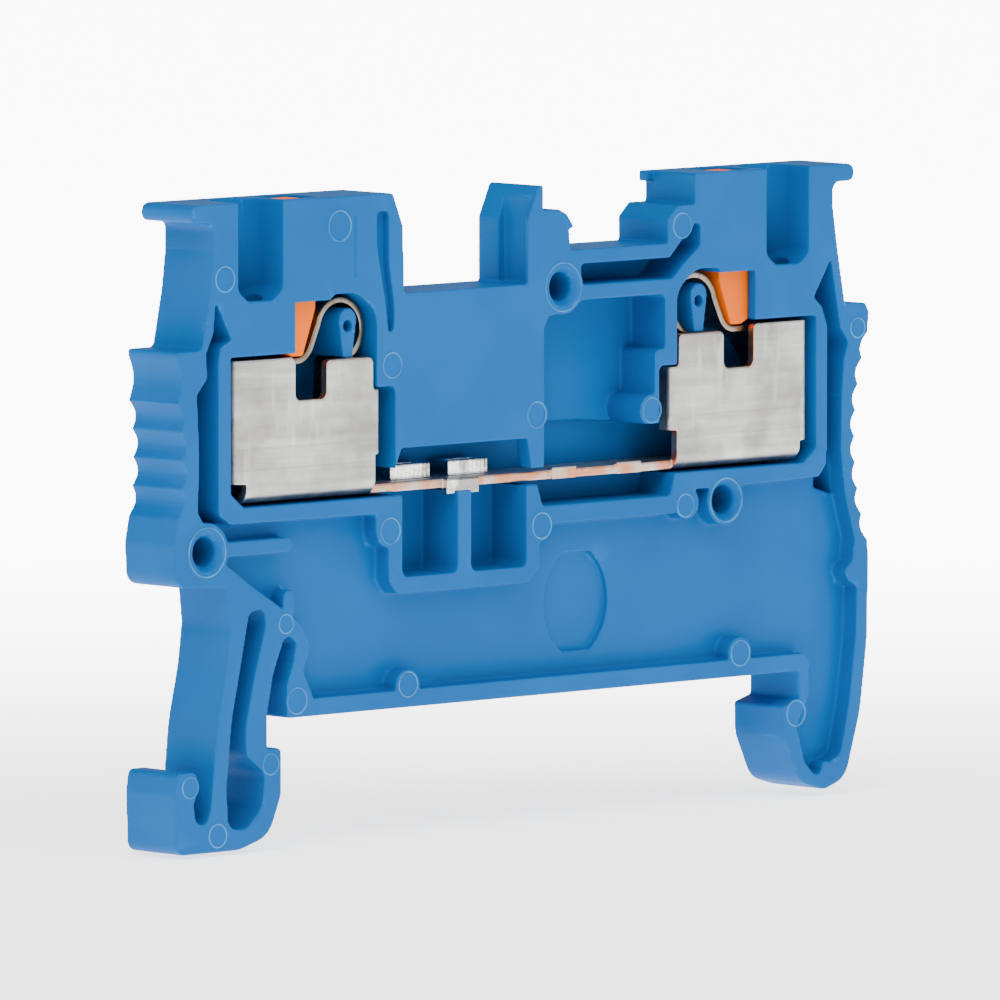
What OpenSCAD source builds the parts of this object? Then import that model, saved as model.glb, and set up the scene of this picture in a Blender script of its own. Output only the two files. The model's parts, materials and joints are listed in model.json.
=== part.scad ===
// Feed-through DIN rail terminal block with push-in clamps, open side facing -Y.
// X runs across the rail, Z points away from it, Y runs along it.
// The origin is on the rail seat, over the rail's centre line, at half the block's thickness.

/* [Housing] */
// Thickness of the block along the rail
thickness = 3.5; // [3.3:0.05:4]
// Thickness of the closed wall behind the chambers
closed_wall = 0.6; // [0.5:0.05:0.8]
// Height of the two towers above the rail seat
tower_top = 24.6; // [24.3:0.1:25.5]
// Height of the bridge notch floor above the rail seat
notch_floor = 19.8; // [19.5:0.05:20]
// Depth of the shallow field on the open side
field_depth = 0.95; // [0.6:0.05:1.2]
// Offset of the two clamps' mid line from the rail's centre line
clamp_mid = -0.6; // [-0.7:0.05:-0.5]

/* [Rail] */
// Clear distance between the hooks that hold the rail
rail_gap = 35.2; // [35.1:0.05:35.4]
// Reach of the fixed hook under the rail
hook_reach = 1.1; // [0.9:0.05:1.2]
// Radius of the arc on which the latch foot turns
foot_arc = 3.4; // [3.3:0.05:3.5]

/* [Alignment pegs] */
// Diameter of the alignment holes in the open side
peg_hole_d = 1.4; // [1.3:0.05:1.5]
// Diameter of the alignment pegs on the closed side
peg_d = 1.3; // [1.1:0.05:1.3]
// Length of the alignment pegs
peg_length = 0.9; // [0.6:0.1:1.2]
// Depth of the deepest alignment hole
peg_hole_depth = 2.4; // [2.2:0.1:2.5]
// How much shallower each next alignment hole is
peg_hole_step = 0.2; // [0:0.05:0.2]

/* [Conductor entry] */
// Width of the wire funnel
funnel_w = 2.85; // [2.6:0.05:2.9]
// Diameter of the conductor hole under the funnel
entry_d = 2.1; // [1.8:0.1:2.2]

/* [Current bar] */
// Thickness of the stamped copper
bar_t = 0.45; // [0.4:0.05:0.5]
// Height of the bar's underside above the rail seat
bar_z = 10.3; // [10.25:0.05:10.35]
// Depth of the clamp cage's face behind the open side
cage_face = 0.05; // [0.03:0.01:0.1]

/* [Springs and buttons] */
// Thickness of the spring strip
spring_t = 0.3; // [0.25:0.01:0.35]
// Width of the spring strip along the rail
spring_w = 2; // [1.8:0.05:2]
// Thickness of the push button along the rail
button_w = 2; // [1.8:0.05:2]

/* [Hidden] */
$fn = 48;

blue = [0.18, 0.55, 0.78];
tin = [0.8, 0.8, 0.77];
steel = [0.6, 0.55, 0.48];
orange = [0.98, 0.5, 0.13];

eps = 0.01;
arc_step = 12;
arc_chord = 0.07;
open_y = -thickness / 2;
floor_depth = thickness - closed_wall;
shaft_depth = 2.5;

// Rail grip
hook_x = rail_gap / 2;
rail_slot = 1.35;
foot_low = -6.05;

// Latch foot hinge
foot_pivot = [-18.2, 6.6];
foot_play = 0.02;

// Clamp stations, measured outwards from the clamps' mid line
funnel_u = 17.37;
funnel_floor = 19.9;
window_out = 15.15;
window_top = 19.7;
chamber_out = 19.3;
chamber_in = 8.7;
chamber_step = 9.9;
chamber_top = 17.3;
chamber_floor = 10.15;
step_z = 15.4;
arch_u = 11.6;
arch_z = 18.3;
arch_r = 1.66;

// Post that the spring hangs on
post_u = 11.57;
post_z = 18.7;
post_r = 0.55;
post_foot_z = 16.9;
post_foot_half = 0.3;
post_front = 0.24;
post_hole_r = 0.28;

// Push button and its shaft
button_in = 13.3;
button_out = 15.3;
button_top = 24.5;
button_tip = 17.08;
button_front = 0.62;
button_gap = 0.07;

// Spring: a loop over the post, hinged at the loop's centre
spring_front = 0.7;
loop_centre = [11.66, 18.2];
loop_r = 1.42;
tongue_angle = 12;
loop_angle = 13.5;
leg_angle = 236;

// Peg stations
pegs = [[-21.45, 8.2], [1.7, 19.55], [12.57, 8.65]];
peg_boss_r = [1.4, 1.33, 1.22];

// ---------- helpers ----------

function unit(v) = v / norm(v);

function turn(a, b) = ((b - a + 540) % 360) - 180;

// Points of a corner b between a and c, rounded to radius r
function corner(a, b, c, r) =
    let (
        p = unit([a[0] - b[0], a[1] - b[1]]),
        q = unit([c[0] - b[0], c[1] - b[1]]),
        half = acos(max(-1, min(1, p * q))) / 2,
        start = [b[0], b[1]] + p * r / tan(half),
        finish = [b[0], b[1]] + q * r / tan(half),
        centre = [b[0], b[1]] + unit(p + q) * r / sin(half),
        from = atan2(start[1] - centre[1], start[0] - centre[0]),
        sweep = turn(from, atan2(finish[1] - centre[1], finish[0] - centre[0])),
        arc = r * abs(sweep) * PI / 180,
        n = max(1, min(ceil(abs(sweep) / arc_step), ceil(arc / arc_chord)))
    )
    [for (i = [0:n]) centre + r * [cos(from + sweep * i / n), sin(from + sweep * i / n)]];

// Outline from corners given as [x, z, radius]
function rounded(p) =
    let (n = len(p))
    [for (i = [0:n - 1])
        each (len(p[i]) < 3 || p[i][2] == 0)
            ? [[p[i][0], p[i][1]]]
            : corner(p[(i + n - 1) % n], p[i], p[(i + 1) % n], p[i][2])];

// Extrudes a profile drawn in X and Z between two depths behind the open side
module slice(front, back) {
    translate([0, open_y + back, 0])
        rotate([90, 0, 0])
            linear_extrude(height = back - front)
                children();
}

// Cylinder along Y between two depths
module round_bar(at, r, front, back) {
    translate([at[0], open_y + back, at[1]])
        rotate([90, 0, 0])
            cylinder(r = r, h = back - front);
}

// Places a shape drawn outwards from the clamps' mid line on the left (-1) or right (1) side
module at_side(side) {
    translate([clamp_mid, 0, 0])
        if (side > 0)
            children();
        else
            mirror([1, 0, 0])
                children();
}

// ---------- housing outline ----------

// Scalloped edge: count hollows from z_high down to z_low, bowed inwards
function scallops(x, z_high, z_low, count, bow, hollow) =
    [for (i = [0:count - 1])
        for (k = [0:5])
            let (t = (i + k / 6) / count)
            [x - bow * 4 * t * (1 - t) - hollow * sin(180 * k / 6), z_high + (z_low - z_high) * t]];

right_grip = scallops(22.22, 16.32, 6.15, 8, 0.88, 0.28);
left_grip_top = scallops(0, 17.4, 15.3, 1, 0, 0.3);
left_grip = scallops(-0.02, 15.3, 9.9, 4, 0.26, 0.3);

left_edge_x = -23.3;

module body_outline() {
    polygon(rounded(concat(
        [
            [-16.33, 0, 0.15],
            [hook_x, 0],
            [hook_x, -rail_slot, 0.1],
            [hook_x - hook_reach, -rail_slot - 0.32, 0.1],
            [hook_x - hook_reach + 0.05, -3.2, 1.5],
            [hook_x, -5.45, 1.2],
            [19.3, foot_low + 0.1, 0.9],
            [20.75, -5.45, 1.3],
            [21.75, -2.2, 4],
            [22.2, 1.2, 3],
            [22.3, 5.2, 0.8],
            [22.22, 6.15],
        ],
        [for (i = [len(right_grip) - 1:-1:0]) right_grip[i]],
        [
            [22.3, 17.3, 0.15],
            [22.05, 17.75, 0.15],
            [20.65, 17.8, 0.15],
            [20.1, 20.8, 6],
            [19.83, 22.6, 0],
            [19.83, 23.75, 0.45],
            [21.25, 23.75, 0.35],
            [21.25, tower_top, 0.4],
            [10.5, tower_top, 0.1],
            [10.5, 23.1],
            [9.35, 23.1, 0.1],
            [8.65, 22.45, 0.05],
            [8.7, 21.3],
            [2.2, 21.3, 0.05],
            [2.1, 22.3],
            [2.45, 22.4, 0.08],
            [1.95, 23.05, 0.2],
            [1.45, 23.3, 0.1],
            [0.4, 23.3],
            [0.4, 24.5, 0.1],
            [0.1, 24.5, 0.15],
            [-0.62, 22.9, 0.5],
            [-0.62, notch_floor],
            [-8.7, notch_floor],
            [-8.8, 23, 0.3],
            [-9.45, tower_top, 0.15],
            [-22.45, tower_top, 0.4],
            [-22.45, 23.75, 0.35],
            [-20.95, 23.7, 0.45],
            [-20.95, 22.4, 0],
            [-21.2, 20.4, 5],
            [-21.75, 17.75, 0.3],
            [left_edge_x - 0.05, 17.75, 0.15],
        ],
        [for (p = left_grip_top) [left_edge_x - p[0], p[1]]],
        [for (p = left_grip) [left_edge_x - p[0], p[1]]],
        [
            [left_edge_x, 9.85, 0.1],
            [left_edge_x - 0.25, 8.6, 0.8],
            [left_edge_x - 0.15, 6.6, 0.7],
            [-20.15, 6.5, 0.1],
            [-19.95, 4.6, 2],
            [-20.2, 2.6],
            [-18.2, 2.4],
            [-16.55, 3.72, 0],
            [-16.15, 3.92, 0.2],
            [-15.72, 3.6, 0.2],
            [-15.9, 2.65, 0.6],
            [-16.33, 1.6, 0.6],
        ]
    )));
}

module foot_outline() {
    polygon(rounded([
        [-20.15, 6.5],
        [-19.95, 4.6, 2],
        [-20.2, 2.6, 4],
        [-20.8, 0, 6],
        [-21.2, -3.9, 0.3],
        [-21.45, -4.65, 0.4],
        [-22.15, -4.65, 0.4],
        [-22.3, -3.7, 0.3],
        [-21.95, -2.75, 0.3],
        [-22.2, -2.15, 0.3],
        [-23.35, -2.15, 0.3],
        [-23.5, -3.2, 0.3],
        [-23.4, foot_low, 0.5],
        [-19.4, foot_low, 2],
        [-17.5, -5.5, 1.5],
        [-16.7, -3.6, 1.5],
        [-16.7, -rail_slot, 0.3],
        [-hook_x, -rail_slot, 0.15],
        [-hook_x, 0.3, 1],
        [-17.2, 2.2, 2],
        [-16.55, 3.72, 0],
        [-16.6, 6.5, 0],
    ]));
}

module foot_slot() {
    polygon(rounded([
        [-18.75, 5.15, 0.35],
        [-17.85, 5.35, 0.35],
        [-17.65, 4.6, 1],
        [-18.4, 2.2, 5],
        [-19.0, -0.3, 3],
        [-18.95, -1.6, 0.7],
        [-17.75, -2.5, 0.6],
        [-17.95, -4.1, 0.8],
        [-18.9, -5.05, 0.6],
        [-20.1, -5.05, 0.6],
        [-20.2, -3, 2],
        [-19.85, 0.2, 5],
        [-19.3, 2.6, 5],
    ]));
}

module moulding_profile() {
    difference() {
        union() {
            body_outline();
            foot_outline();
        }
        foot_slot();
    }
}

// Area that belongs to the latch foot, outside an arc about its hinge axis
module foot_zone(play) {
    difference() {
        polygon([
            [-24.5, -7],
            [-16.5, -7],
            [-16.5, 1.7],
            [-16.35, 2.8],
            [-16.35, 3.8],
            [-17, 4.6],
            [-24.5, 4.6],
        ]);
        translate(foot_pivot)
            circle(r = foot_arc + play, $fn = 180);
    }
}

// ---------- pockets in the open side ----------

module funnel(side) {
    half = funnel_w / 2;
    at_side(side) {
        intersection() {
            slice(-eps, floor_depth)
                polygon(rounded([
                    [funnel_u - half, tower_top + 1],
                    [funnel_u - half, funnel_floor + 0.5, 0.5],
                    [funnel_u - half * 0.55, funnel_floor, 0.35],
                    [funnel_u + half * 0.55, funnel_floor, 0.35],
                    [funnel_u + half, funnel_floor + 0.5, 0.5],
                    [funnel_u + half, tower_top + 1],
                ]));
            translate([funnel_u, open_y, funnel_floor - 1])
                union() {
                    translate([-half, -1, 0])
                        cube([funnel_w, 1 + floor_depth - half, tower_top]);
                    translate([0, floor_depth - half, 0])
                        cylinder(r = half, h = tower_top);
                }
        }
        translate([funnel_u, open_y + 0.45 + entry_d / 2, chamber_top - 1])
            cylinder(d = entry_d, h = funnel_floor - chamber_top + 2);
    }
}

module clamp_chamber(side) {
    at_side(side)
        slice(-eps, floor_depth)
            polygon(rounded([
                [chamber_out, chamber_top],
                [window_out, chamber_top],
                [window_out, window_top, 0.05],
                [12.9, window_top],
                [12.6, arch_z + arch_r, 0.1],
                [arch_u - 0.35, arch_z + arch_r + 0.02, 1.3],
                [chamber_step, arch_z + 0.75, 1.3],
                [chamber_step, step_z, 0.1],
                [chamber_in, step_z, 0.3],
                [chamber_in, chamber_floor],
                [chamber_out - 0.85, chamber_floor],
                [chamber_out, chamber_floor + 0.7, 0.1],
            ]));
}

// Shaft of the push button, wider inside than the window, open at the top of the tower
module button_shaft(side) {
    at_side(side)
        translate([button_in - button_gap, open_y + button_front - button_gap, chamber_top - 0.1])
            cube([button_out - button_in + 2 * button_gap, button_w + 2 * button_gap, tower_top]);
}

// Gap between the grip and the chamber wall
module left_gap() {
    slice(-eps, shaft_depth)
        polygon(rounded([
            [-20.85, 20],
            [-19.85, 18.15, 0.05],
            [-20.55, 17.85, 0.3],
            [-20.7, 17.1, 0.2],
            [-20.7, 9.9, 0.5],
            [-20.0, 9.45],
            [-20.5, 9.2],
            [-21.6, 9.5, 0.1],
            [-22.0, 10.1, 0.3],
            [-21.9, 12.8, 2],
            [-22.05, 15.65, 0.2],
            [-21.4, 16.4, 0.2],
            [-21.45, 17.6, 0.2],
            [-21, 18.5, 0.5],
        ]));
}

module right_gap() {
    slice(-eps, shaft_depth)
        polygon(rounded([
            [19.7, 20],
            [20.35, 16.6, 0.3],
            [20.9, 15.9, 0.3],
            [20.6, 15.1, 0.5],
            [20.45, 13.3, 3],
            [20.4, 10, 1],
            [20.7, 8.4],
            [19.45, 8.8],
            [19.45, 16.8, 0.3],
            [19.1, 17.7, 0.3],
            [18.55, 18.2, 0.05],
        ]));
}

// Channel that the current bar lies in, and the bridge notch chamber over it
module bar_channel() {
    slice(-eps, floor_depth)
        polygon([
            [-9.4, chamber_floor],
            [8.4, chamber_floor],
            [8.4, 12.6],
            [7.2, 12.65],
            [4.9, 12.85],
            [0.46, 12.85],
            [0.46, 10.95],
            [-0.4, 10.95],
            [-0.65, 12.4],
            [-8.9, 12.4],
            [-9.4, 11.2],
        ]);
    slice(0.9, floor_depth)
        translate([-9.2, 10.5])
            square([10, 2.4]);
}

module centre_pocket() {
    slice(-eps, shaft_depth - 0.1)
        difference() {
            polygon(rounded([
                [0.46, 12.6],
                [0.46, 17.6, 0.3],
                [0.75, 18.2, 0.1],
                [1.7, 18.3],
                [3.0, 18.85, 0.1],
                [8.5, 18.85, 0.3],
                [8.5, 16.25, 0.1],
                [7.8, 16.2, 0.3],
                [7.8, 12.6],
            ]));
            // Boss at the end of the ledge
            translate([7.6, 13.3])
                circle(r = rib_boss_r);
        }
    slice(-eps, shaft_depth)
        polygon(rounded([
            [2.9, 19.6, 0.2],
            [2.9, 20.6, 0.2],
            [8.8, 20.6, 0.2],
            [9.6, 21.4, 0.3],
            [10.25, 21.75, 0.2],
            [10.45, 22.2, 0.05],
            [10.85, 22.1, 0.05],
            [10.85, 21.1, 0.4],
            [9.9, 20.4, 0.4],
            [9, 19.6, 0.4],
        ]));
    slice(-eps, shaft_depth)
        polygon(rounded([
            [0.35, 9.1, 0.25],
            [8.85, 9.1, 0.3],
            [9.2, 10.3],
            [-0.05, 10.3],
        ]));
}

module bridge_shafts() {
    for (x = [-8.83, -4.33])
        slice(-eps, shaft_depth)
            polygon(rounded([
                [x, 6.25, 0.35],
                [x + 3.6, 6.25, 0.35],
                [x + 3.6, 10.3],
                [x, 10.3],
            ]));
}

rib_bosses = [[-15.7, 0.95], [-8.5, 1.05], [13.55, 1.15], [-9.75, 8.5], [0.2, 8.15], [10.0, 8.65]];
rib_boss_r = 0.78;
mark_x = 3.43;
mark_z = 4.26;
mark_r = 2.98;
mark_half = 2.36;

// Shallow field between the ribs, reaching into the fixed foot
module field() {
    slice(-eps, field_depth)
        difference() {
            polygon(rounded([
                [-20.4, 7.7],
                [-18.5, 6.4, 3],
                [-17.1, 5.55, 4],
                [-15.2, 4.3, 1.2],
                [-14.85, 3.2, 0.8],
                [-15.3, 2.2, 0.5],
                [-14.6, 0.85],
                [17.9, 0.85, 0.35],
                [18.25, 0.5, 0.2],
                [18.2, -1.2],
                [17.4, -2.7, 0.3],
                [17.95, -4.5, 0.8],
                [18.75, -5.25, 0.35],
                [19.4, -4.7, 0.2],
                [20.4, -4.25, 0.6],
                [21.0, -1.7, 3],
                [21.45, 1.6, 3],
                [21.5, 3.85],
                [20.95, 4.2, 0.2],
                [20.6, 4.7, 0.3],
                [21.2, 5.2],
                [21.35, 6.2, 0.4],
                [20.7, 8.4],
                [20.4, 10.6],
                [19.4, 10.6],
                [19.4, 10, 0.5],
                [18.9, 9.4, 0.4],
                [14, 9.3, 0.3],
                [10.6, 9.3, 0.2],
                [9.2, 8.2],
                [0.2, 8.2, 0.2],
                [0.1, 6.1, 0.5],
                [-0.6, 5.45, 0.5],
                [-9.2, 5.45, 0.5],
                [-9.75, 6.1, 0.5],
                [-9.75, 7.8, 0.2],
                [-10.55, 8.4, 0.2],
                [-10.55, 9.35, 0.2],
                [-19.9, 9.4, 0.3],
                [-20.75, 9.95],
                [-21.5, 9.4],
            ]));
            // Rib beside the left alignment hole
            polygon(rounded([[-20.8, 7.9], [-15.95, 7.9, 0.34], [-15.95, 8.6, 0.34], [-20.8, 8.6]]));
            // Stub on the arc rib
            translate([-16.2, 5.75])
                circle(r = 0.35);
            translate([-16.55, 4.9])
                square([0.7, 0.85]);
            // Bosses on the ribs
            for (p = rib_bosses)
                translate(p)
                    circle(r = rib_boss_r);
            translate([19.4, -4.85])
                circle(r = 0.3);
        }
    // Barrel-shaped mark
    slice(field_depth - eps, field_depth + 0.3)
        intersection() {
            translate([mark_x - 0.88, mark_z])
                circle(r = mark_r, $fn = 96);
            translate([mark_x + 0.88, mark_z])
                circle(r = mark_r, $fn = 96);
            translate([mark_x - mark_r, mark_z - mark_half])
                square([2 * mark_r, 2 * mark_half]);
        }
}

// Curved slot and fine line in the left tower's face
module tower_slot() {
    slice(-eps, 0.5)
        polygon(rounded([
            [-10.5, 23.75, 0.2],
            [-10.5, 22.2, 4],
            [-9.95, 19.6, 3],
            [-9.72, 17.95, 0.1],
            [-9.4, 18.1, 0.1],
            [-9.35, 19.2, 3],
            [-9.7, 21.2, 4],
            [-9.72, 23.75, 0.2],
        ]));
    slice(-eps, 0.1)
        translate([-11.95, 20.7])
            square([0.14, 3]);
}

// Vertical guide in the post beside the bridge notch
module post_groove() {
    translate([-0.75, open_y + 0.25, notch_floor])
        cube([0.6, 1.85, 6]);
}

// Lip on the closed wall, over the step of the right tower
module tower_lip() {
    translate([10.05, open_y + floor_depth, tower_top - 0.5])
        cube([0.6, closed_wall, 0.5]);
}

module spring_post(side) {
    at_side(side)
        difference() {
            slice(post_front, floor_depth + eps)
                union() {
                    translate([post_u, post_z])
                        circle(r = post_r);
                    polygon([
                        [post_u - post_r, post_z - 0.1],
                        [post_u + post_r, post_z - 0.1],
                        [post_u + post_foot_half, post_foot_z],
                        [post_u - post_foot_half, post_foot_z],
                    ]);
                }
            round_bar([post_u, post_z - 0.3], post_hole_r, post_front - 1, post_front + 0.7);
        }
}

// Raised boss around each alignment hole
module peg_bosses() {
    for (i = [0:2])
        round_bar(pegs[i], peg_boss_r[i], 0, floor_depth);
}

module peg_holes() {
    for (i = [0:2]) {
        round_bar(pegs[i], peg_hole_d / 2, -eps, peg_hole_depth - i * peg_hole_step);
        translate([pegs[i][0], open_y - eps, pegs[i][1]])
            rotate([-90, 0, 0])
                cylinder(r1 = peg_hole_d / 2 + 0.26, r2 = peg_hole_d / 2, h = 0.3);
    }
}

// Shallow panels that core out the closed side
module closed_side_panels() {
    slice(thickness - 0.9, thickness + eps)
        polygon(rounded([
            [-14.2, 1.6, 0.5],
            [16.6, 1.6, 0.5],
            [16.6, 5.2, 0.5],
            [2.2, 5.2, 0.3],
            [2.2, 4.4, 0.3],
            [-12.2, 4.4, 0.5],
            [-14.2, 3.2, 0.5],
        ]));
}

module housing_solid() {
    difference() {
        slice(0, thickness)
            difference() {
                moulding_profile();
                foot_zone(-foot_play);
            }
        for (side = [-1, 1]) {
            funnel(side);
            clamp_chamber(side);
            button_shaft(side);
        }
        left_gap();
        right_gap();
        bar_channel();
        centre_pocket();
        bridge_shafts();
        field();
        tower_slot();
        post_groove();
        closed_side_panels();
    }
    tower_lip();
    for (side = [-1, 1])
        spring_post(side);
}

module housing() {
    color(blue)
        difference() {
            union() {
                housing_solid();
                peg_bosses();
                for (p = pegs)
                    round_bar(p, peg_d / 2, thickness - eps, thickness + peg_length);
            }
            peg_holes();
        }
}

module latch_foot() {
    color(blue)
        slice(0, thickness)
            intersection() {
                moulding_profile();
                foot_zone(foot_play);
            }
}

// ---------- current bar ----------

cage_in = 9.55;
flap_r = 0.4;
flap_low = 12.2;
flap_back = 0.95;
lobe_in = 10.08;
lobe_top = 16.87;
cage_out = 19;
cage_top = 17.12;
notch_in = 13.1;
notch_out = 15.1;
notch_low = 15.05;
bend_r = 0.75;
cage_back = 2.75;
face_low = bar_z + bend_r;
side_low = face_low + 0.2;
bar_front = 0.45;

module cage_face_profile() {
    polygon(rounded([
        [cage_in + flap_r, face_low],
        [cage_out - bend_r, face_low],
        [cage_out - bend_r, cage_top],
        [notch_out, cage_top, 0.3],
        [notch_out, notch_low, 0.35],
        [notch_in, notch_low, 0.35],
        [notch_in, lobe_top, 0.3],
        [lobe_in, lobe_top, 0.3],
        [lobe_in, step_z, 0.05],
        [cage_in + flap_r, step_z - 0.1, 0.05],
    ]));
}

// Quarter bend of the sheet, axis along X, from the bar up to the cage's face
module floor_bend() {
    translate([cage_in + flap_r, open_y + cage_face + bend_r, face_low])
        rotate([0, 90, 0])
            rotate_extrude(angle = -90, $fn = 64)
                translate([bend_r - bar_t, 0])
                    square([bar_t, cage_out - bend_r - cage_in - flap_r]);
}

// Quarter bend of the sheet about an upright axis, between two heights
module upright_bend(u, r, low, high, from) {
    translate([u, open_y + cage_face + r, low])
        rotate([0, 0, from])
            rotate_extrude(angle = 90, $fn = 64)
                translate([r - min(bar_t, r - 0.02), 0])
                    square([min(bar_t, r - 0.02), high - low]);
}

module cage(side) {
    at_side(side) {
        slice(cage_face, cage_face + bar_t)
            cage_face_profile();
        floor_bend();
        upright_bend(cage_out - bend_r, bend_r, side_low, cage_top, -90);
        // Outer wall
        translate([cage_out - bar_t, open_y + cage_face + bend_r, side_low])
            cube([bar_t, cage_back - cage_face - bend_r, cage_top - side_low]);
        // Flap folded back at the inner edge
        upright_bend(cage_in + flap_r, flap_r, flap_low, step_z - 0.1, 180);
        translate([cage_in, open_y + cage_face + flap_r, flap_low])
            cube([flap_r - 0.02, flap_back - cage_face - flap_r, step_z - 0.1 - flap_low]);
    }
}

collar_x = [-8.4, -4.6];
collar_w = 2.6;
collar_front = 1.35;
collar_h = 0.75;
collar_wall = 0.35;
tooth_pitch = 0.27;

// Collar with upright teeth around a bridge opening
module collar(x) {
    translate([x, open_y + collar_front, bar_z + bar_t - eps]) {
        difference() {
            cube([collar_w, 1.3, collar_h]);
            translate([collar_wall, collar_wall, -1])
                cube([collar_w - 2 * collar_wall, 0.6, collar_h + 2]);
        }
        for (i = [0:7])
            translate([0.3 + i * tooth_pitch, -0.08, 0])
                cube([tooth_pitch / 2, 0.1, collar_h]);
    }
}

module bar_strip() {
    difference() {
        union() {
            // Strip that runs under both cages
            translate([clamp_mid - cage_out + 1.4, open_y + 0.95, bar_z])
                cube([2 * (cage_out - 1.4), cage_back - 0.95, bar_t]);
            // Front part between the cages
            translate([clamp_mid - cage_in - flap_r, open_y + bar_front, bar_z])
                cube([2 * (cage_in + flap_r), 0.6, bar_t]);
            // Tab bent down at the front edge
            translate([-5.8, open_y + 0.15, bar_z - 0.3])
                cube([2.1, 0.4, bar_t + 0.3]);
            for (x = [1.3, 5.6])
                translate([x, open_y + bar_front - 0.1, bar_z])
                    cube([1.6, 0.3, bar_t + 0.12]);
        }
        for (x = collar_x)
            translate([x + collar_wall, open_y + collar_front + collar_wall, bar_z - 1])
                cube([collar_w - 2 * collar_wall, 0.6, 3]);
    }
}

module current_bar() {
    color(tin) {
        bar_strip();
        cage(-1);
        cage(1);
        for (x = collar_x)
            collar(x);
    }
}

// ---------- springs ----------

function arc(centre, r, from, to) =
    let (n = max(1, ceil(abs(to - from) / 8)))
    [for (i = [0:n]) centre + r * [cos(from + (to - from) * i / n), sin(from + (to - from) * i / n)]];

// Edge of a strip that follows a path, at distance s to the left of its middle
function strip_edge(path, s) =
    let (last = len(path) - 1)
    [for (i = [0:last])
        let (
            before = unit(path[max(i, 1)] - path[max(i, 1) - 1]),
            after = unit(path[min(i + 1, last)] - path[min(i + 1, last) - 1]),
            along = unit(before + after)
        )
        path[i] + s / (along * after) * [-along[1], along[0]]];

module spring_strip(path) {
    back = strip_edge(path, -spring_t / 2);
    color(steel)
        slice(spring_front, spring_front + spring_w)
            polygon(concat(
                strip_edge(path, spring_t / 2),
                [for (i = [len(back) - 1:-1:0]) back[i]]
            ));
}

// Arc over the post and the leg that rests in the cage
module spring_loop(side) {
    at_side(side)
        spring_strip(concat(
            arc(loop_centre, loop_r, loop_angle, leg_angle),
            [[11.16, 16.78], [11.36, 16.4], [11.42, 15.6], [11.6, 12]]
        ));
}

// Leg that clamps the conductor, pressed down by the button
module spring_tongue(side) {
    at_side(side)
        spring_strip(concat(
            [loop_centre + loop_r * [cos(tongue_angle), sin(tongue_angle)]],
            [[13.27, 18], [13.49, 17.52], [13.65, 17.24], [13.88, 17.02], [14.15, 16.89], [14.5, 16.85]],
            [[15.2, 16.85], [15.55, 16.7], [16.6, 15.6], [17.6, 14]]
        ));
}

module left_spring_loop() { spring_loop(-1); }
module right_spring_loop() { spring_loop(1); }
module left_spring_tongue() { spring_tongue(-1); }
module right_spring_tongue() { spring_tongue(1); }

// ---------- push buttons ----------

module push_button(side) {
    recess = 0.45;
    color(orange)
        at_side(side)
            difference() {
                slice(button_front, button_front + button_w)
                    polygon(rounded([
                        [button_out, button_top, 0.15],
                        [button_in, button_top, 0.15],
                        [button_in, 19.3, 0.3],
                        [14.12, button_tip, 0.12],
                        [14.8, button_tip, 0.1],
                        [button_out, button_tip + 0.25, 0.2],
                    ]));
                // Screwdriver recess in the head
                translate([button_in + recess, open_y + button_front + recess, button_top - 0.35])
                    cube([button_out - button_in - 2 * recess, button_w - 2 * recess, 1]);
            }
}

module left_push_button() { push_button(-1); }
module right_push_button() { push_button(1); }

housing();
latch_foot();
current_bar();
left_spring_loop();
left_spring_tongue();
left_push_button();
right_spring_loop();
right_spring_tongue();
right_push_button();
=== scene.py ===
"""Blender scene of the DIN rail terminal block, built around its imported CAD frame."""

import json
import math

import bmesh
import bpy
import numpy as np
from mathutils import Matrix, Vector
from mathutils.bvhtree import BVHTree

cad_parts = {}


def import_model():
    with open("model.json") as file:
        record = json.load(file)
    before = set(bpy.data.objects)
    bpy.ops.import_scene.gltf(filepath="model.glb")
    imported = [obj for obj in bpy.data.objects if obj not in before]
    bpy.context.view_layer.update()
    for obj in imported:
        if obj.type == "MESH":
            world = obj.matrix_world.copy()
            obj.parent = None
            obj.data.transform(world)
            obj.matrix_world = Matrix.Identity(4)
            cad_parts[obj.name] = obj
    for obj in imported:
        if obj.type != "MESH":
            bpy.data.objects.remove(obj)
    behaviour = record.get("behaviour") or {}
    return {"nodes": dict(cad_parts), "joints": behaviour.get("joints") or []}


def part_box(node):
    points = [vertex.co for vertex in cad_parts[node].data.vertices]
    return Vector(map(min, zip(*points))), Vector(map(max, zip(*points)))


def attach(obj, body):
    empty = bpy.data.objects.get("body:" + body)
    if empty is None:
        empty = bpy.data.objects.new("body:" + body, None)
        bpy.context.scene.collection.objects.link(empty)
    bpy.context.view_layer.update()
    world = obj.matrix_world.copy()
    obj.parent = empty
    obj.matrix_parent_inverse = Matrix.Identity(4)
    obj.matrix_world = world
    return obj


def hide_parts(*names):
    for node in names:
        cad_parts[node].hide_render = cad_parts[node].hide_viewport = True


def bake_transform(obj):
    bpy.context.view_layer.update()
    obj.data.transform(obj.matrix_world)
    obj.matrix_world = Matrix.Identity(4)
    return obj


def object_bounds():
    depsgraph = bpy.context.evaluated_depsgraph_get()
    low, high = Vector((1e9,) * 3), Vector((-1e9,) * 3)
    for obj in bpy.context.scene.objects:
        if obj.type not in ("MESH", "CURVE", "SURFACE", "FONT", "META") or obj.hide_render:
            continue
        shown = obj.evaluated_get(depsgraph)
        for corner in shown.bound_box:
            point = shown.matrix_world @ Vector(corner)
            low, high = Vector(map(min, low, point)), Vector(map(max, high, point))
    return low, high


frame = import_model()
CAD_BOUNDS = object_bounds()

MM = 0.001
OPEN_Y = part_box("housing")[0].y

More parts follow.
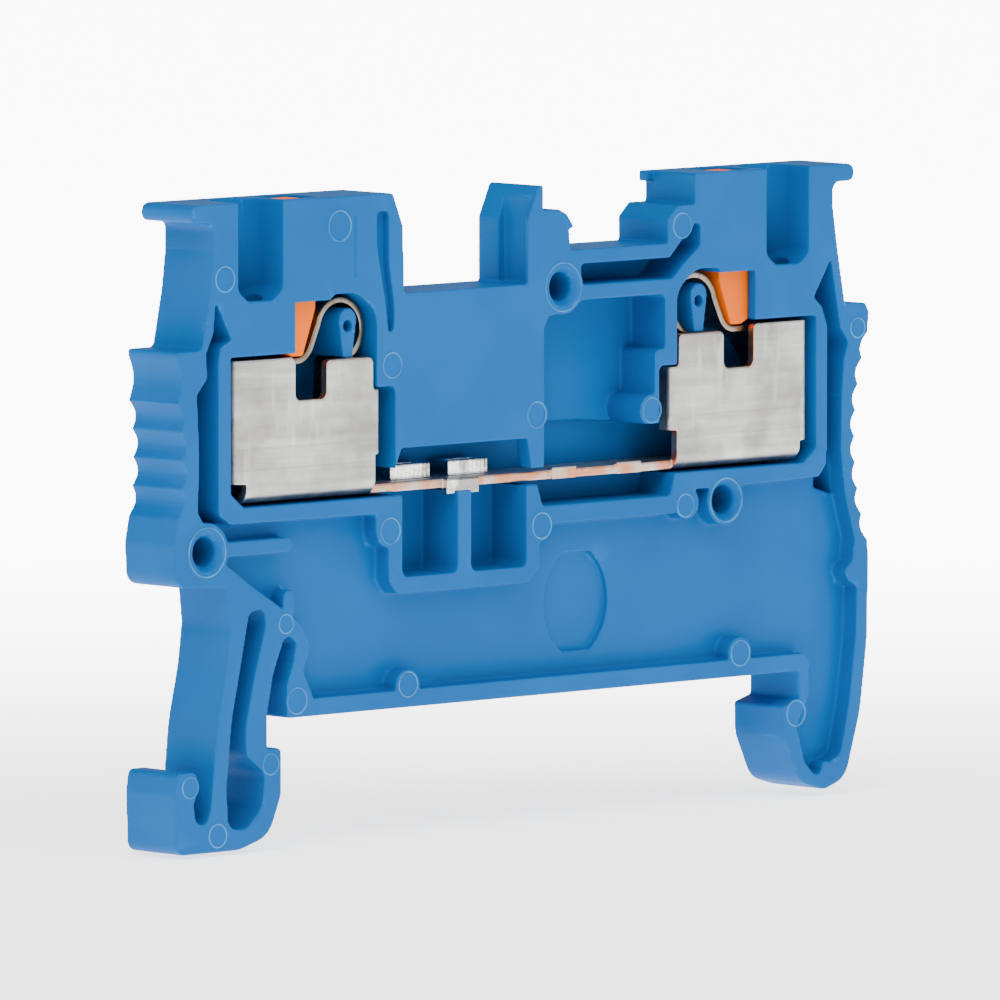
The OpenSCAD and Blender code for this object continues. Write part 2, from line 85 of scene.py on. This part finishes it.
# The latch foot's hinge and the arc on which the CAD splits it from the housing
FOOT_JOINT = next(j for j in frame["joints"] if j["name"] == "foot_flex")
FOOT_PIVOT = Vector(FOOT_JOINT["pos_m"])
FOOT_ARC = 3.4 * MM
FOOT_SPLIT = 0.02 * MM


# ---------- mesh helpers ----------


def new_object(name, mesh):
    obj = bpy.data.objects.new(name, mesh)
    bpy.context.scene.collection.objects.link(obj)
    return obj


def cad_bmesh(*nodes):
    """The solids of these CAD nodes in one bmesh."""
    bm = bmesh.new()
    for node in nodes:
        bm.from_mesh(frame["nodes"][node].data)
    bmesh.ops.remove_doubles(bm, verts=bm.verts, dist=1e-7)
    return bm


def to_object(bm, name):
    mesh = bpy.data.meshes.new(name)
    bm.to_mesh(mesh)
    bm.free()
    return new_object(name, mesh)


def apply_modifiers(obj):
    graph = bpy.context.evaluated_depsgraph_get()
    mesh = bpy.data.meshes.new_from_object(obj.evaluated_get(graph))
    obj.modifiers.clear()
    obj.data = mesh


def triangulate(obj):
    bm = bmesh.new()
    bm.from_mesh(obj.data)
    bmesh.ops.triangulate(bm, faces=bm.faces)
    bm.to_mesh(obj.data)
    bm.free()


def finish_piece(obj, slot, *materials):
    for mat in materials:
        obj.data.materials.append(mat)


def shade_smooth(obj):
    for poly in obj.data.polygons:
        poly.use_smooth = True


def mould(obj, voxel, passes, faces):
    """Melts sharp edges and corners the way a moulding tool does, at about twice the voxel's size."""
    remesh = obj.modifiers.new("skin", "REMESH")
    remesh.mode = "VOXEL"
    remesh.voxel_size = voxel
    smooth = obj.modifiers.new("soften", "SMOOTH")
    smooth.iterations = passes
    smooth.factor = 0.5
    apply_modifiers(obj)
    thin = obj.modifiers.new("thin", "DECIMATE")
    thin.ratio = min(1, faces / (2 * len(obj.data.polygons)))
    apply_modifiers(obj)
    shade_smooth(obj)
    weighted = obj.modifiers.new("normals", "WEIGHTED_NORMAL")
    weighted.weight = 100
    apply_modifiers(obj)


# ---------- moulding ----------


def weld_foot(bm):
    """Closes the CAD's split between the latch foot and the housing, which are one moulding."""
    def on_arc(v, r):
        at = math.hypot(v.co.x - FOOT_PIVOT.x, v.co.z - FOOT_PIVOT.z)
        return abs(at - r) < 0.3 * FOOT_SPLIT and v.co.z < FOOT_PIVOT.z - 0.4 * FOOT_ARC

    upper = [v for v in bm.verts if on_arc(v, FOOT_ARC - FOOT_SPLIT)]
    lower = [v for v in bm.verts if on_arc(v, FOOT_ARC + FOOT_SPLIT)]
    seam = set(upper) | set(lower)
    walls = [f for f in bm.faces if all(v in seam for v in f.verts) and abs(f.normal.y) < 0.5]
    bmesh.ops.delete(bm, geom=walls, context="FACES_ONLY")
    targets = {}
    for v in lower:
        near = min(upper, key=lambda w: (w.co - v.co).length)
        if (near.co - v.co).length < 0.15 * MM:
            near.co = v.co = (near.co + v.co) / 2
            targets[v] = near
    bmesh.ops.weld_verts(bm, targetmap=targets)
    bmesh.ops.holes_fill(bm, edges=[e for e in bm.edges if not e.is_manifold])


def mesh_arrays(mesh):
    """Vertices, triangles and corner normals as arrays."""
    co = np.empty(3 * len(mesh.vertices), np.float32)
    mesh.vertices.foreach_get("co", co)
    tris = np.empty(3 * len(mesh.polygons), np.int32)
    mesh.polygons.foreach_get("vertices", tris)
    normals = np.empty(3 * len(mesh.loops), np.float32)
    mesh.corner_normals.foreach_get("vector", normals)
    return co.reshape(-1, 3), tris.reshape(-1, 3), normals.reshape(-1, 3, 3)


def part_of(name, co, tris, normals, mask):
    """An object of some of a mesh's triangles, shaded as the whole mesh was, so that no seam shows."""
    used, index = np.unique(tris[mask], return_inverse=True)
    mesh = bpy.data.meshes.new(name)
    mesh.from_pydata(co[used].tolist(), [], index.reshape(-1, 3).tolist())
    for poly in mesh.polygons:
        poly.use_smooth = True
    mesh.normals_split_custom_set(normals[mask].reshape(-1, 3).tolist())
    return new_object(name, mesh)


def bend_with_foot(obj):
    """Bakes the object's placement into its mesh."""
    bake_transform(obj)


def moulding():
    """The one-piece moulding, cut along the hinge arc into the housing and the foot."""
    bm = cad_bmesh("housing", "latch_foot")
    weld_foot(bm)
    whole = to_object(bm, "whole")
    mould(whole, voxel=0.06 * MM, passes=7, faces=196000)
    triangulate(whole)
    co, tris, normals = mesh_arrays(whole.data)
    bpy.data.objects.remove(whole)
    centre = co[tris].mean(axis=1)
    reach = np.hypot(centre[:, 0] - FOOT_PIVOT.x, centre[:, 2] - FOOT_PIVOT.z)
    below = (centre[:, 2] < FOOT_PIVOT.z - 2 * MM) & (centre[:, 0] < FOOT_PIVOT.x + 1.8 * MM)
    is_foot = below & (reach > FOOT_ARC)
    body = part_of("housing_moulding", co, tris, normals, ~is_foot)
    foot = part_of("latch_foot_moulding", co, tris, normals, is_foot)
    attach(body, "block")
    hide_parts("housing")
    bend_with_foot(foot)
    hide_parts("latch_foot")
    for obj in (body, foot):
        finish_piece(obj, "blue_moulding", BLUE)


# Ejector pin marks on the open side, as (X, Z, radius), and the marks on the foot
PIN_MARKS = [(-12.91, 23.2, 0.72), (-20.28, 21.04, 0.6), (-9.51, 16.4, 0.6), (-0.05, 13.5, 0.62),
             (7.6, 13.3, 0.6), (9.62, 22.12, 0.6), (-16.4, 4.5, 0.45), (-15.7, 0.8, 0.62),
             (-9.65, 8.5, 0.62), (0.28, 8.15, 0.62), (9.85, 8.55, 0.55), (13.55, 1.14, 0.62),
             (17.34, -2.06, 0.62), (-8.5, 1.1, 0.6), (21.5, 16.55, 0.48), (-21.45, 8.2, 1.17), (1.7, 19.55, 1.17), (12.57, 8.65, 1.06)]
FOOT_MARKS = [(-20.8, -5.26, 0.55), (-17.4, -2.1, 0.5), (-22.55, -2.86, 0.5)]


def ring(verts, faces, x, z, radius, width=0.055, height=0.03, turns=72):
    """A low rounded bead around a pin mark, sunk a little into the open side."""
    section = [(-width, -height), (-0.5 * width, 0.8 * height), (0, height),
               (0.5 * width, 0.8 * height), (width, -height)]
    first = len(verts)
    for i in range(turns):
        a = 2 * math.pi * i / turns
        for out, up in section:
            r = radius + out
            verts.append(Vector((x + r * math.cos(a), OPEN_Y / MM - up, z + r * math.sin(a))) * MM)
    n = len(section)
    for i in range(turns):
        for k in range(n - 1):
            a, b = first + i * n + k, first + ((i + 1) % turns) * n + k
            faces.append((a, a + 1, b + 1, b))


def pin_marks():
    for name, marks, bends in (("pin_marks", PIN_MARKS, False), ("foot_pin_marks", FOOT_MARKS, True)):
        verts, faces = [], []
        for x, z, radius in marks:
            ring(verts, faces, x, z, radius)
        mesh = bpy.data.meshes.new(name)
        mesh.from_pydata(verts, [], faces)
        obj = new_object(name, mesh)
        shade_smooth(obj)
        if bends:
            bend_with_foot(obj)
        else:
            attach(obj, "block")
        finish_piece(obj, "blue_moulding", FLASH)


# ---------- current bar ----------


def mark_cut_edges(obj, sheet=0.45 * MM):
    """Gives the bare copper to faces where the metal behind is thicker than the sheet, which are its cut edges."""
    bm = bmesh.new()
    bm.from_mesh(obj.data)
    tree = BVHTree.FromBMesh(bm)
    for face in bm.faces:
        at = face.calc_center_median()
        hit = tree.ray_cast(at - face.normal * 1e-6, -face.normal)
        if hit[3] is not None and hit[3] > 1.7 * sheet:
            face.material_index = 1
        if in_collars(at):
            face.material_index = 2
    bm.to_mesh(obj.data)
    bm.free()


def in_collars(at):
    """The collars round the bridge openings, with the tab in front of the second one."""
    x, z = at.x / MM, at.z / MM
    return (-8.7 < x < -1.8 and z > 10.78) or (-5.9 < x < -3.6 and at.y < OPEN_Y + 0.42 * MM)


def current_bar():
    obj = to_object(cad_bmesh("current_bar"), "current_bar_stamping")
    mould(obj, voxel=0.045 * MM, passes=3, faces=90000)
    mark_cut_edges(obj)
    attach(obj, "block")
    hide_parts("current_bar")
    finish_piece(obj, "tinned_copper", TIN, COPPER, BRIGHT)


# ---------- springs ----------

SPRING_MID = -0.6
SPRING_FRONT, SPRING_WIDE, SPRING_THICK = 0.7, 2.0, 0.3
LOOP_CENTRE = (11.66, 18.2)
LOOP_RADIUS = 1.42
# The strip bends along this stretch of the loop, whose centre is the tongue's hinge
BEND_FROM, BEND_TO = 75, 12


def loop_point(degrees):
    a = math.radians(degrees)
    return (LOOP_CENTRE[0] + LOOP_RADIUS * math.cos(a), LOOP_CENTRE[1] + LOOP_RADIUS * math.sin(a))


def smooth_path(points, steps=8):
    """A Catmull-Rom curve through the points."""
    ends = [points[0]] + points + [points[-1]]
    path = []
    for i in range(1, len(ends) - 2):
        p0, p1, p2, p3 = (np.array(p) for p in ends[i - 1:i + 3])
        for k in range(steps):
            t = k / steps
            path.append(0.5 * (2 * p1 + (p2 - p0) * t + (2 * p0 - 5 * p1 + 4 * p2 - p3) * t * t
                               + (3 * p1 - p0 - 3 * p2 + p3) * t ** 3))
    path.append(np.array(points[-1]))
    return path


def section(thick, wide, radius, corner=4):
    """Rounded cross-section of the strip, as (across, along Y) points."""
    points = []
    for sx, sy, turn in ((1, 1, 0), (-1, 1, 90), (-1, -1, 180), (1, -1, 270)):
        for i in range(corner + 1):
            a = math.radians(turn + 90 * i / corner)
            points.append((sx * (thick / 2 - radius) + radius * math.cos(a),
                           sy * (wide / 2 - radius) + radius * math.sin(a)))
    return points


def strip(name, side, path):
    """Sweeps the strip's section along a path of (u, z) points measured outwards from the clamps' mid line."""
    ring_points = section(SPRING_THICK, SPRING_WIDE, 0.06)
    y = OPEN_Y / MM + SPRING_FRONT + SPRING_WIDE / 2
    verts, faces = [], []
    for i, p in enumerate(path):
        along = path[min(i + 1, len(path) - 1)] - path[max(i - 1, 0)]
        along = along / np.linalg.norm(along)
        across = np.array((-along[1], along[0]))
        for a, b in ring_points:
            u, z = p + across * a
            verts.append(Vector((SPRING_MID + side * u, y + b, z)) * MM)
    n = len(ring_points)
    for i in range(len(path) - 1):
        for k in range(n):
            a, b = i * n + k, i * n + (k + 1) % n
            faces.append((a, b, b + n, a + n))
    faces.append(tuple(range(n)))
    faces.append(tuple(range(len(verts) - 1, len(verts) - n - 1, -1)))
    mesh = bpy.data.meshes.new(name)
    mesh.from_pydata(verts, [], faces)
    obj = new_object(name, mesh)
    bm = bmesh.new()
    bm.from_mesh(mesh)
    bmesh.ops.recalc_face_normals(bm, faces=bm.faces)
    bm.to_mesh(mesh)
    bm.free()
    shade_smooth(obj)
    return obj


def springs():
    for side, name in ((-1, "left"), (1, "right")):
        arc = [np.array(loop_point(BEND_FROM + (236 - BEND_FROM) * i / 64)) for i in range(65)]
        leg = smooth_path([tuple(arc[-1]), (11.16, 16.78), (11.36, 16.4), (11.42, 15.6), (11.6, 12)])
        loop = strip(f"{name}_loop_strip", side, arc + leg[1:])
        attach(loop, "block")
        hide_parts(f"{name}_spring_loop")
        blade = smooth_path([loop_point(12), (13.27, 18), (13.49, 17.52), (13.65, 17.24), (13.88, 17.02),
                             (14.15, 16.89), (14.5, 16.85), (15.2, 16.85), (15.55, 16.7), (16.6, 15.6), (17.6, 14)])
        bend = [np.array(loop_point(BEND_FROM + (BEND_TO - BEND_FROM) * i / 32)) for i in range(33)]
        tongue = strip(f"{name}_tongue_strip", side, bend + blade[1:])
        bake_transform(tongue)
        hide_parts(f"{name}_spring_tongue")
        for obj in (loop, tongue):
            finish_piece(obj, "spring_steel", STEEL)


# ---------- push buttons ----------


def buttons():
    for name in ("left", "right"):
        obj = to_object(cad_bmesh(f"{name}_push_button"), f"{name}_release_button")
        mould(obj, voxel=0.05 * MM, passes=4, faces=16000)
        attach(obj, f"{name}_button")
        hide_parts(f"{name}_push_button")
        finish_piece(obj, "orange_plastic", ORANGE)


# ---------- materials ----------


def node(tree, kind, **values):
    made = tree.nodes.new(kind)
    for key, value in values.items():
        if key.startswith("in_"):
            made.inputs[key[3:].replace("_", " ")].default_value = value
        else:
            setattr(made, key, value)
    return made


def noise(tree, scale, detail=4.0, stretch=(1, 1, 1)):
    """Object-space noise at a scale per metre, stretched along an axis for a brushed grain."""
    place = node(tree, "ShaderNodeTexCoord")
    mapping = node(tree, "ShaderNodeMapping")
    mapping.inputs["Scale"].default_value = stretch
    texture = node(tree, "ShaderNodeTexNoise", in_Scale=scale, in_Detail=detail)
    tree.links.new(place.outputs["Object"], mapping.inputs["Vector"])
    tree.links.new(mapping.outputs["Vector"], texture.inputs["Vector"])
    return texture.outputs["Fac"]


def ramp(tree, source, low, high, start=0.35, end=0.65):
    """Maps a grey value to between two colours."""
    made = node(tree, "ShaderNodeValToRGB")
    made.color_ramp.elements[0].position = start
    made.color_ramp.elements[1].position = end
    made.color_ramp.elements[0].color = (*low, 1)
    made.color_ramp.elements[1].color = (*high, 1)
    tree.links.new(source, made.inputs["Fac"])
    return made.outputs["Color"]


def scaled(tree, source, low, high):
    made = node(tree, "ShaderNodeMapRange")
    made.inputs["To Min"].default_value = low
    made.inputs["To Max"].default_value = high
    tree.links.new(source, made.inputs["Value"])
    return made.outputs["Result"]


def bump(tree, source, strength, distance):
    made = node(tree, "ShaderNodeBump", in_Strength=strength, in_Distance=distance)
    tree.links.new(source, made.inputs["Height"])
    return made.outputs["Normal"]


def mixed(tree, factor, a, b):
    made = node(tree, "ShaderNodeMix", data_type="RGBA")
    tree.links.new(factor, made.inputs["Factor"])
    for source, socket in ((a, made.inputs[6]), (b, made.inputs[7])):
        if isinstance(source, tuple):
            socket.default_value = (*source, 1)
        else:
            tree.links.new(source, socket)
    return made.outputs[2]


def shader(name, roughness, metallic=0.0, **values):
    mat = bpy.data.materials.new(name)
    mat.use_nodes = True
    bsdf = mat.node_tree.nodes["Principled BSDF"]
    bsdf.inputs["Roughness"].default_value = roughness
    bsdf.inputs["Metallic"].default_value = metallic
    for key, value in values.items():
        bsdf.inputs[key.replace("_", " ")].default_value = value
    return mat, mat.node_tree, bsdf


def blue_polyamide():
    """Moulded polyamide: fine spark-eroded grain, slow flow variation, and a painted highlight that pales the
    edges.
    """
    mat, tree, bsdf = shader("blue polyamide", 0.45, Specular_IOR_Level=0.1)
    base = ramp(tree, noise(tree, 180, 3), (0.0, 0.082, 0.275), (0.0005, 0.092, 0.305))
    geometry = node(tree, "ShaderNodeNewGeometry")
    # Painted highlight: edges found by pointiness are mixed towards a paler blue, standing in for light caught on
    # the rounded edges.
    edge_highlight = ramp(tree, geometry.outputs["Pointiness"], (0, 0, 0), (1, 1, 1), 0.57, 0.68)
    colour = mixed(tree, scaled(tree, edge_highlight, 0, 0.4), base, (0.004, 0.18, 0.5))
    tree.links.new(colour, bsdf.inputs["Base Color"])
    tree.links.new(scaled(tree, noise(tree, 5200, 2), 0.42, 0.6), bsdf.inputs["Roughness"])
    tree.links.new(bump(tree, noise(tree, 9000, 3), 0.18, 0.00002), bsdf.inputs["Normal"])
    return mat


def blue_flash():
    """The pale burnished bead that an ejector pin leaves in the blue moulding."""
    mat, tree, bsdf = shader("burnished blue", 0.35, Specular_IOR_Level=0.3)
    colour = ramp(tree, noise(tree, 900, 3), (0.0, 0.11, 0.33), (0.015, 0.19, 0.45), 0.4, 0.6)
    tree.links.new(colour, bsdf.inputs["Base Color"])
    tree.links.new(scaled(tree, noise(tree, 2500, 2), 0.28, 0.44), bsdf.inputs["Roughness"])
    return mat


def painted_shade_bands(tree, *levels):
    """1 in a narrow band at each height; the bands carry painted shade along the lines coined into the sheet."""
    place = node(tree, "ShaderNodeTexCoord")
    split = node(tree, "ShaderNodeSeparateXYZ")
    tree.links.new(place.outputs["Object"], split.inputs["Vector"])
    total = None
    for level in levels:
        band = node(tree, "ShaderNodeMath", operation="COMPARE")
        tree.links.new(split.outputs["Z"], band.inputs[0])
        band.inputs[1].default_value = level * MM
        band.inputs[2].default_value = 0.06 * MM
        if total is None:
            total = band.outputs[0]
            continue
        joined = node(tree, "ShaderNodeMath", operation="MAXIMUM")
        tree.links.new(total, joined.inputs[0])
        tree.links.new(band.outputs[0], joined.inputs[1])
        total = joined.outputs[0]
    return total


def tin_plate():
    """Matte tin plate: brushed along the strip, mottled, with darker handling marks, and painted shade in bands
    along the coined lines.
    """
    mat, tree, bsdf = shader("tin plate", 0.34, 1)
    mottled = ramp(tree, noise(tree, 420, 5), (0.33, 0.328, 0.30), (0.53, 0.528, 0.49), 0.36, 0.6)
    grain = noise(tree, 1400, 5, (0.1, 1, 1))
    streaked = mixed(tree, ramp(tree, grain, (0, 0, 0), (0.6, 0.6, 0.6), 0.45, 0.7), mottled, (0.27, 0.26, 0.24))
    scuffs = ramp(tree, noise(tree, 1100, 6, (1, 1, 0.15)), (0, 0, 0), (0.5, 0.5, 0.5), 0.58, 0.68)
    scuffed = mixed(tree, scuffs, streaked, (0.74, 0.73, 0.7))
    # Painted shade: the tin is darkened in narrow bands at z 12.9 and 11.9 mm, along the coined lines.
    colour = mixed(tree, scaled(tree, painted_shade_bands(tree, 12.9, 11.9), 0, 0.25), scuffed, (0.25, 0.24, 0.22))
    tree.links.new(colour, bsdf.inputs["Base Color"])
    tree.links.new(scaled(tree, noise(tree, 1500, 4), 0.24, 0.52), bsdf.inputs["Roughness"])
    tree.links.new(bump(tree, grain, 0.4, 0.00006), bsdf.inputs["Normal"])
    return mat


def bright_tin():
    """Reflowed tin on the collars and the tab, much shinier than the rolled faces."""
    mat, tree, bsdf = shader("reflowed tin", 0.15, 1)
    colour = ramp(tree, noise(tree, 900, 4), (0.30, 0.29, 0.28), (0.85, 0.84, 0.82), 0.42, 0.58)
    tree.links.new(colour, bsdf.inputs["Base Color"])
    tree.links.new(scaled(tree, noise(tree, 1900, 3), 0.1, 0.26), bsdf.inputs["Roughness"])
    tree.links.new(bump(tree, noise(tree, 1800, 3), 0.5, 0.00006), bsdf.inputs["Normal"])
    return mat


def bare_copper():
    """Cut edge of the sheet: bare copper with patches of smeared tin."""
    mat, tree, bsdf = shader("cut copper edge", 0.35, 1)
    colour = ramp(tree, noise(tree, 700, 4), (0.62, 0.25, 0.14), (0.55, 0.5, 0.44), 0.46, 0.62)
    tree.links.new(colour, bsdf.inputs["Base Color"])
    tree.links.new(scaled(tree, noise(tree, 2200, 3), 0.26, 0.46), bsdf.inputs["Roughness"])
    tree.links.new(bump(tree, noise(tree, 3000, 3, (1, 1, 0.2)), 0.4, 0.00003), bsdf.inputs["Normal"])
    return mat


def spring_steel():
    mat, tree, bsdf = shader("spring steel", 0.3, 1)
    colour = ramp(tree, noise(tree, 600, 4), (0.17, 0.135, 0.10), (0.36, 0.3, 0.235))
    tree.links.new(colour, bsdf.inputs["Base Color"])
    tree.links.new(scaled(tree, noise(tree, 2600, 3), 0.2, 0.4), bsdf.inputs["Roughness"])
    tree.links.new(bump(tree, noise(tree, 2500, 3, (1, 0.1, 1)), 0.25, 0.00002), bsdf.inputs["Normal"])
    return mat


def orange_plastic():
    mat, tree, bsdf = shader("orange plastic", 0.4, Specular_IOR_Level=0.1)
    colour = ramp(tree, noise(tree, 260, 3), (0.8, 0.13, 0.0), (0.88, 0.155, 0.0))
    tree.links.new(colour, bsdf.inputs["Base Color"])
    tree.links.new(scaled(tree, noise(tree, 5000, 2), 0.32, 0.5), bsdf.inputs["Roughness"])
    tree.links.new(bump(tree, noise(tree, 8000, 3), 0.15, 0.00002), bsdf.inputs["Normal"])
    return mat


# The floor's painted glow, faint near the object and bright in the strip behind it, and the way the strip runs,
# turned to the camera's azimuth
FLOOR_GLOW_NEAR, FLOOR_GLOW_FAR = 1.9, 9.5
STRIP_TURN = math.radians(-43.4)


def ease(tree, source, start, end, low, high):
    made = node(tree, "ShaderNodeMapRange", interpolation_type="SMOOTHSTEP")
    for key, value in (("From Min", start), ("From Max", end), ("To Min", low), ("To Max", high)):
        made.inputs[key].default_value = value
    tree.links.new(source, made.inputs["Value"])
    return made.outputs["Result"]


def painted_glow_floor():
    """Pale floor with painted light: it glows faintly everywhere and brightly in a long strip behind the object,
    turned to the camera's azimuth, which whitens the background; the strip is too far off to light the object.
    """
    mat, tree, bsdf = shader("glowing pale floor", 0.8, Specular_IOR_Level=0.0)
    colour = ramp(tree, noise(tree, 30, 3), (0.94, 0.94, 0.94), (0.97, 0.97, 0.97))
    tree.links.new(colour, bsdf.inputs["Base Color"])
    place = node(tree, "ShaderNodeTexCoord")
    turned = node(tree, "ShaderNodeMapping", vector_type="TEXTURE")
    turned.inputs["Rotation"].default_value = (0, 0, STRIP_TURN)
    split = node(tree, "ShaderNodeSeparateXYZ")
    tree.links.new(place.outputs["Object"], turned.inputs["Vector"])
    tree.links.new(turned.outputs["Vector"], split.inputs["Vector"])
    across = node(tree, "ShaderNodeMath", operation="ABSOLUTE")
    tree.links.new(split.outputs["X"], across.inputs[0])
    behind = ease(tree, split.outputs["Y"], 0.0, 0.16, 0, 1)
    beside = ease(tree, across.outputs[0], 0.06, 0.12, 1, 0)
    strip_glow = node(tree, "ShaderNodeMath", operation="MULTIPLY")
    tree.links.new(behind, strip_glow.inputs[0])
    tree.links.new(beside, strip_glow.inputs[1])
    glow = node(tree, "ShaderNodeMapRange")
    glow.inputs["To Min"].default_value = FLOOR_GLOW_NEAR
    glow.inputs["To Max"].default_value = FLOOR_GLOW_FAR
    tree.links.new(strip_glow.outputs[0], glow.inputs["Value"])
    # Painted light: the floor glows faintly everywhere and brightly in the strip behind the object.
    bsdf.inputs["Emission Color"].default_value = (1, 1, 1, 1)
    tree.links.new(glow.outputs["Result"], bsdf.inputs["Emission Strength"])
    return mat


BLUE = blue_polyamide()
FLASH = blue_flash()
BRIGHT = bright_tin()
TIN = tin_plate()
COPPER = bare_copper()
STEEL = spring_steel()
ORANGE = orange_plastic()

moulding()
pin_marks()
current_bar()
springs()
buttons()


# ---------- stage, light and camera ----------


def floor():
    z = CAD_BOUNDS[0][2] - 0.2 * MM
    size = 20.0
    mesh = bpy.data.meshes.new("floor")
    corners = [(-size, -size, z), (size, -size, z), (size, size, z), (-size, size, z)]
    mesh.from_pydata(corners, [], [(0, 1, 2, 3)])
    obj = new_object("floor", mesh)
    obj.data.materials.append(painted_glow_floor())


def direction(azimuth, elevation):
    """Unit vector from the object towards a viewpoint given in degrees."""
    a, e = math.radians(azimuth), math.radians(elevation)
    return Vector((math.sin(a) * math.cos(e), -math.cos(a) * math.cos(e), math.sin(e)))


def area_light(name, azimuth, elevation, distance, size, power, target=(0, 0, 0.009)):
    light = bpy.data.lights.new(name, "AREA")
    light.energy = power
    light.size = size
    obj = bpy.data.objects.new(name, light)
    bpy.context.scene.collection.objects.link(obj)
    back = direction(azimuth, elevation)
    obj.location = Vector(target) + back * distance
    obj.rotation_euler = (-back).to_track_quat("-Z", "Y").to_euler()


def world(colour, strength):
    scene_world = bpy.data.worlds.new("studio")
    scene_world.use_nodes = True
    background = scene_world.node_tree.nodes["Background"]
    background.inputs["Color"].default_value = (*colour, 1)
    background.inputs["Strength"].default_value = strength
    bpy.context.scene.world = scene_world


def camera():
    target = Vector((-2.49, -1.75, 9.55)) * MM
    back = direction(-43.37, 4.99)
    data = bpy.data.cameras.new("camera")
    data.lens = 613.4
    data.sensor_width = 36
    data.clip_start = 0.01
    obj = bpy.data.objects.new("camera", data)
    bpy.context.scene.collection.objects.link(obj)
    obj.location = target + back * 0.815
    obj.rotation_euler = (-back).to_track_quat("-Z", "Y").to_euler()
    bpy.context.scene.camera = obj


floor()
world((1, 1, 1), 0.62)
area_light("key", -60, 50, 0.6, 0.5, 4)
area_light("fill", 25, 40, 0.7, 0.5, 2)
camera()
